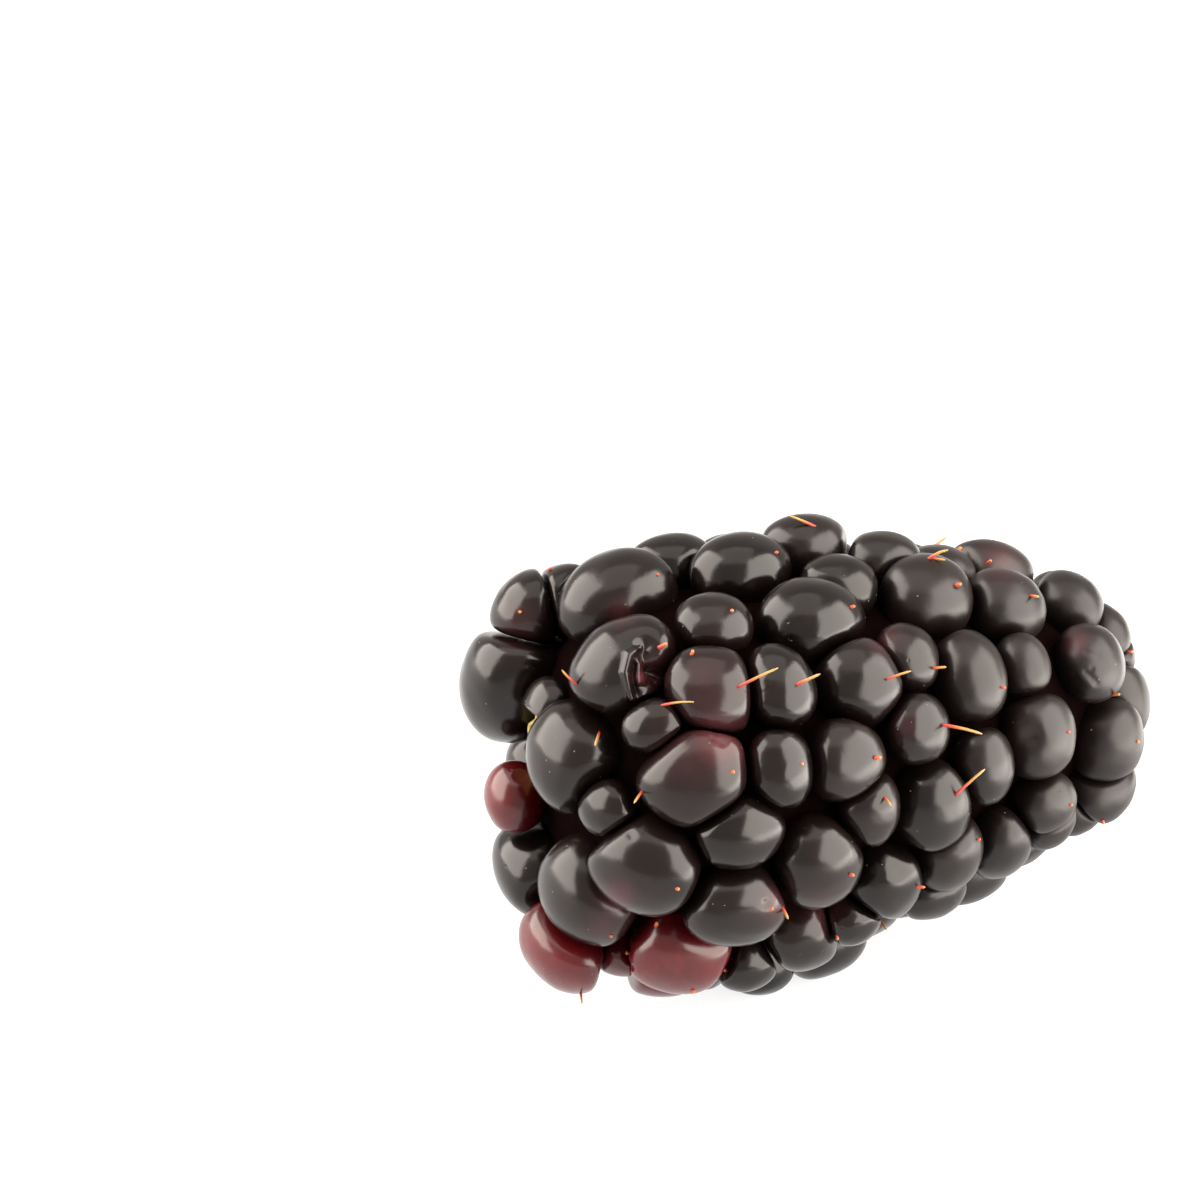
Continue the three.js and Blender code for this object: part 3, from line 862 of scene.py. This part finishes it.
def white_floor():
    """White and faintly lit from below, so that shadows on it are weak."""
    floor = Finish("white_floor", Roughness=0.6, Emission_Strength=0.83)
    clouds = floor.noise(40, 1, 0.5)
    floor.feed(floor.shader.inputs["Emission Color"], (1.0, 1.0, 1.0))
    return floor.wear(Base_Color=floor.mix(clouds, (0.22, 0.22, 0.22), (0.215, 0.215, 0.215)))


BLACK_SKIN = black_skin()
RED_SKIN = red_skin()
STYLE_FINISH = style_finish()

# Drupelets, as pieces of the berry

def drupelet_piece(name, chosen, finish, node):
    made = piece(name, *joined_in_order(chosen, finish))
    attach(made, "root")
    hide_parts(node)


def joined_in_order(chosen, finish):
    places, triangles, measures = joined([drupelet_mesh(one) for one in chosen])
    return places, triangles, finish, measures


black_ones = [one for one in drupelets if one.kind == BLACK and one is not collapsed_one]
black_ones.sort(key=lambda one: one.centre[0])
NAMES = ["stem_end_drupelets", "shoulder_drupelets", "middle_drupelets", "tip_drupelets"]
for share, name in enumerate(NAMES):
    first = share * len(black_ones) // len(NAMES)
    last = (share + 1) * len(black_ones) // len(NAMES)
    drupelet_piece(name, black_ones[first:last], BLACK_SKIN, "black_drupelets")
drupelet_piece("collapsed_drupelet", [collapsed_one], BLACK_SKIN, "black_drupelets")
drupelet_piece(
    "unripe_drupelets", [one for one in drupelets if one.kind == RED], RED_SKIN, "red_drupelets"
)
drupelet_piece(
    "unripe_shoulder", [one for one in drupelets if one.kind == RED_SHOULDER], RED_SKIN,
    "red_shoulder_drupelet",
)


def core_piece():
    """A near-black egg deep under the drupelets: painted shade, that darkens the gaps between them."""
    directions, triangles = bead_net(PLAIN_NET)
    local = directions * [LENGTH / 2, MIDDLE_RADIUS, MIDDLE_RADIUS]
    places = onto_egg(from_berry(local), CORE_DEPTH + CORE_SUNK)
    made = piece("gap_shade_core", places, triangles, gap_shade_finish(), {})
    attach(made, "root")
    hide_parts("black_drupelets")


core_piece()


def receptacle_piece():
    """The cut end where the berry left its stalk: a star with a raised rim round a fibrous hollow."""
    sides, rings, wall_rings = 120, 26, 6
    face = -LENGTH / 2 + RECEPTACLE_DEPTH
    turn = 2 * np.pi * np.arange(sides) / sides
    places, from_middle = [], []
    for ring in range(1, rings + 1):
        share = ring / rings
        hollow = HOLLOW_DEPTH * (1 - share ** 2) - 0.16 * math.exp(-((share - 0.86) / 0.09) ** 2)
        rounding = RIM_ROUNDING * max(0, share - 0.93) / 0.07
        fibre = 0.05 * np.sin(turn * 23 + 2 * np.sin(turn * 3)) * share * (1 - share) * 4
        fibre = fibre + 0.04 * np.sin(turn * 11 + 9 * share)
        reach = star_reach(turn) * share
        depth = face + hollow + rounding * share + fibre * (share < 0.9)
        places.append(np.stack([depth, reach * np.cos(turn), reach * np.sin(turn)], axis=1))
        from_middle.append(np.full(sides, share))
    for ring in range(1, wall_rings + 1):
        share = ring / wall_rings
        reach = star_reach(turn) * (1 + 0.02 * np.sin(7 * turn + 5 * share))
        depth = np.full(sides, face + RIM_ROUNDING + share * (RECEPTACLE_LENGTH - 0.3))
        places.append(np.stack([depth, reach * np.cos(turn), reach * np.sin(turn)], axis=1))
        from_middle.append(np.full(sides, 1 + share))
    middle = [[face + HOLLOW_DEPTH, 0, 0], [places[-1][0][0], 0, 0]]
    local = np.vstack([*places, middle]) + [0, RECEPTACLE_ACROSS, RECEPTACLE_ABOVE]
    measure = np.concatenate([*from_middle, [0.0, 2.0]])
    here, after = np.arange(sides), (np.arange(sides) + 1) % sides
    triangles = [np.stack([np.full(sides, len(local) - 2), after, here], axis=1)]
    for ring in range(rings + wall_rings - 1):
        inner, outer = ring * sides, (ring + 1) * sides
        triangles.append(np.stack([inner + here, inner + after, outer + after], axis=1))
        triangles.append(np.stack([inner + here, outer + after, outer + here], axis=1))
    last = (rings + wall_rings - 1) * sides
    triangles.append(np.stack([np.full(sides, len(local) - 1), last + here, last + after], axis=1))
    made = piece("cut_receptacle", from_berry(local), np.vstack(triangles), cut_flesh(),
                 {"from_middle": measure})
    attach(made, "root")
    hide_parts("receptacle")


receptacle_piece()

# Styles, the dried threads that each drupelet carries near its tip-ward edge. Seen ones go from a pixel
# at the root to one at the end; short ones are red stubs

LONG_STYLES = [
    (667, 530, 680, 506),
    (819, 527, 790, 516),
    (576, 686, 562, 670),
    (660, 704, 694, 702),
    (737, 688, 778, 668),
    (796, 685, 820, 674),
    (600, 731, 595, 746),
    (927, 558, 948, 550),
    (930, 557, 945, 560),
    (933, 669, 946, 667),
    (886, 680, 911, 671),
    (942, 724, 982, 734),
    (955, 796, 985, 769),
    (641, 791, 634, 803),
    (884, 796, 891, 806),
    (783, 906, 788, 919),
    (581, 994, 582, 1004),
    (881, 921, 887, 930),
    (1020, 869, 1036, 866),
    (1046, 638, 1050, 630),
    (1031, 595, 1039, 597),
    (1112, 696, 1120, 694),
]
STUBS = [
    (519, 612), (549, 570), (657, 575), (660, 647), (731, 611), (776, 553), (750, 528), (690, 655),
    (851, 607), (957, 585), (1001, 687), (1068, 732), (1129, 652), (1132, 638), (1137, 742), (875, 758),
    (731, 772), (801, 764), (677, 889), (850, 875), (610, 936), (655, 926), (771, 909), (836, 935),
    (726, 970), (692, 991), (626, 953), (1070, 805), (1102, 821), (978, 840), (917, 887), (987, 563),
]
STYLE_SIDES = 8
STYLE_STEPS = 9
STYLE_ROOT = 0.12  # how deep a style is set in the skin
LONG_STYLE_WIDTH = 0.14
STUB_WIDTH = 0.19


def style_mesh(root, end, sag, thickness, age):
    """A bent thread from root to end, thinner and rounded at its end."""
    along = np.linspace(0, 1, STYLE_STEPS)[:, None]
    bend = (root + end) / 2 + sag
    line = (1 - along) ** 2 * root + 2 * along * (1 - along) * bend + along ** 2 * end
    forward = unit(np.gradient(line, axis=0))
    side = unit(np.cross(forward, VIEW_TOWARDS + [0.3, 0.1, 0.2]))
    other = np.cross(forward, side)
    radii = thickness / 2 * (1 - 0.35 * along[:, 0]) * np.sqrt(np.clip((1.02 - along[:, 0]) * 9, 0.05, 1))
    turn = 2 * np.pi * np.arange(STYLE_SIDES) / STYLE_SIDES
    ring = np.cos(turn)[None, :, None] * side[:, None] + np.sin(turn)[None, :, None] * other[:, None]
    places = (line[:, None] + ring * radii[:, None, None]).reshape(-1, 3)
    places = np.vstack([places, line[0], line[-1] + forward[-1] * radii[-1] * 0.5])
    here, after = np.arange(STYLE_SIDES), (np.arange(STYLE_SIDES) + 1) % STYLE_SIDES
    triangles = []
    for step in range(STYLE_STEPS - 1):
        low, high = step * STYLE_SIDES, (step + 1) * STYLE_SIDES
        triangles.append(np.stack([low + here, low + after, high + after], axis=1))
        triangles.append(np.stack([low + here, high + after, high + here], axis=1))
    last = (STYLE_STEPS - 1) * STYLE_SIDES
    triangles.append(np.stack([np.full(STYLE_SIDES, len(places) - 2), after, here], axis=1))
    triangles.append(np.stack([np.full(STYLE_SIDES, len(places) - 1), last + here, last + after], axis=1))
    up_style = np.concatenate([np.repeat(along[:, 0], STYLE_SIDES), [0, 1]])
    measures = {"up_style": up_style, "age": np.full(len(places), age)}
    return places, np.vstack(triangles), measures


def in_cad_box(place):
    margin = 0.2
    low, high = np.array(cad_box[0]) / MM, np.array(cad_box[1]) / MM
    return bool(np.all(place > low - margin) and np.all(place < high + margin) and place[2] > 0.2)


def long_style(random, x, y, end_x, end_y):
    """A thread between two pixels, that stands off the skin toward the eye at its end."""
    one, root = met_first(x, y)
    if one is None:
        return []
    outward = unit(root - one.centre)
    lift = 0.35 + 0.4 * next(random)
    reach = np.linalg.norm(root - EYE)
    end = EYE + sight_through(end_x, end_y) * (reach - lift)
    sag = (outward * 0.5 + VIEW_UP * 0.2) * np.linalg.norm(end - root) * 0.35 * next(random)
    thickness = LONG_STYLE_WIDTH + 0.05 * next(random)
    return [style_mesh(root - outward * STYLE_ROOT, end, sag, thickness, 0.55 + 0.45 * next(random))]


def stub(random, x, y):
    """What is left of a style that broke off short."""
    one, root = met_first(x, y)
    if one is None:
        return []
    outward = unit(root - one.centre)
    lean = unit(outward + 0.7 * ALONG + 0.5 * (np.array([next(random) for _ in range(3)]) - 0.5))
    end = root + lean * (0.12 + 0.3 * next(random) ** 2)
    thickness = STUB_WIDTH + 0.07 * next(random)
    return [style_mesh(root - outward * STYLE_ROOT, end, 0 * end, thickness, 0.05 + 0.25 * next(random))]


def hidden_style(random, one):
    """A thread or a stub on a drupelet of the far sides."""
    wild = [next(random) for _ in range(6)]
    direction = unit(one.outward * 0.8 + one.lengthwise * (0.5 + 0.3 * wild[0])
                     + one.round * (wild[1] - 0.5) * 0.7)
    if direction @ VIEW_TOWARDS > -0.2:
        return []
    root = one.centre + direction * reach_of(one, direction[None])[0]
    long_one = wild[2] > 0.55
    length = 1.0 + 1.3 * wild[3] if long_one else 0.25 + 0.3 * wild[3]
    lean = unit(direction + one.lengthwise * (0.2 + 0.6 * wild[4]) + one.round * (wild[5] - 0.5) * 1.4)
    end = root + lean * length
    if not in_cad_box(end):
        end = root + lean * 0.25
    if not in_cad_box(end) or not in_cad_box(root):
        return []
    sag = one.round * (wild[0] - 0.5) * length * 0.5
    thickness = 0.19 if long_one else 0.26
    age = 0.6 + 0.4 * wild[1] if long_one else 0.1 + 0.25 * wild[1]
    return [style_mesh(root - direction * STYLE_ROOT, end, sag, thickness, age)]


def style_meshes():
    random = random_numbers(RANDOM_SEED + 7)
    made = []
    for pixels in LONG_STYLES:
        made += long_style(random, *pixels)
    for pixel in STUBS:
        made += stub(random, *pixel)
    for one in hidden_ones:
        made += hidden_style(random, one)
    return made


places, triangles, measures = joined(style_meshes())
styles = piece("styles", places, triangles, STYLE_FINISH, measures)
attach(styles, "root")

# Studio: a white lit floor, a large soft light at the left and one overhead, a small panel near the
# tip, and a lit table beside it

def floor_piece():
    half = 1.5
    mesh = bpy.data.meshes.new("floor")
    corners = [(-half, -half, -2e-5), (half, -half, -2e-5), (half, half, -2e-5), (-half, half, -2e-5)]
    mesh.from_pydata(corners, [], [(0, 1, 2, 3)])
    mesh.materials.append(white_floor())
    floor = bpy.data.objects.new("floor", mesh)
    bpy.context.scene.collection.objects.link(floor)


def soft_light(name, place, facing, wide, tall, brightness):
    """A soft light at a place in mm, that shines the way it faces; its sides are in metres."""
    light = bpy.data.lights.new(name, "AREA")
    light.shape = "RECTANGLE"
    light.size, light.size_y = wide, tall
    light.energy = brightness * math.pi * wide * tall
    light.color = LIGHT_COLOUR
    holder = bpy.data.objects.new(name, light)
    right = unit(np.cross(VIEW_TOWARDS, facing))
    axes = np.array([right, np.cross(right, facing), -facing]).T
    holder.matrix_world = Matrix.Translation(place * MM) @ Matrix(axes.tolist()).to_4x4()
    holder.visible_camera = False
    bpy.context.scene.collection.objects.link(holder)


def soft_light_from(name, bearing, height, distance, side, brightness):
    """A soft light on the berry: bearing from the reference view to the right, and height, in degrees."""
    turn, rise = math.radians(bearing), math.radians(height)
    level = VIEW_RIGHT * math.sin(turn) + VIEW_FRONT * math.cos(turn)
    towards = level * math.cos(rise) + np.array([0, 0, math.sin(rise)])
    soft_light(name, MIDDLE + towards * distance, -towards, side, side, brightness)


floor_piece()
soft_light_from("left_softbox", -94, 26, 500, 0.66, 8.6)
soft_light_from("overhead", 0, 89, 800, 0.8, 1.6)
soft_light(
    "near_panel", VIEW_RIGHT * 42 + VIEW_FRONT * 25 + [0, 0, 50],
    -unit(VIEW_RIGHT + 0.24 * VIEW_FRONT), 0.103, 0.09, 8.0,
)
soft_light("lit_table", VIEW_RIGHT * 120 + [0, 0, 0.1], np.array([0, 0, 1.0]), 0.18, 0.24, 3.8)

world = bpy.data.worlds.new("studio")
world.use_nodes = True
world.node_tree.nodes["Background"].inputs["Color"].default_value = (*LIGHT_COLOUR, 1)
world.node_tree.nodes["Background"].inputs["Strength"].default_value = 0.85
bpy.context.scene.world = world
bpy.context.scene.view_settings.view_transform = "Standard"

# Camera at the reference view: 60 mm of the berry's own size fills the picture

camera = bpy.data.cameras.new("reference_view")
camera.sensor_width = 36
camera.lens = camera.sensor_width * VIEW_DISTANCE / (PICTURE_SIDE * MM_PER_PIXEL)
camera.clip_start = 0.01
camera.clip_end = 20
viewer = bpy.data.objects.new("reference_view", camera)
axes = Matrix(np.array([VIEW_RIGHT, VIEW_UP, VIEW_TOWARDS]).T.tolist()).to_4x4()
viewer.matrix_world = Matrix.Translation(EYE * MM) @ axes
bpy.context.scene.collection.objects.link(viewer)
bpy.context.scene.camera = viewer
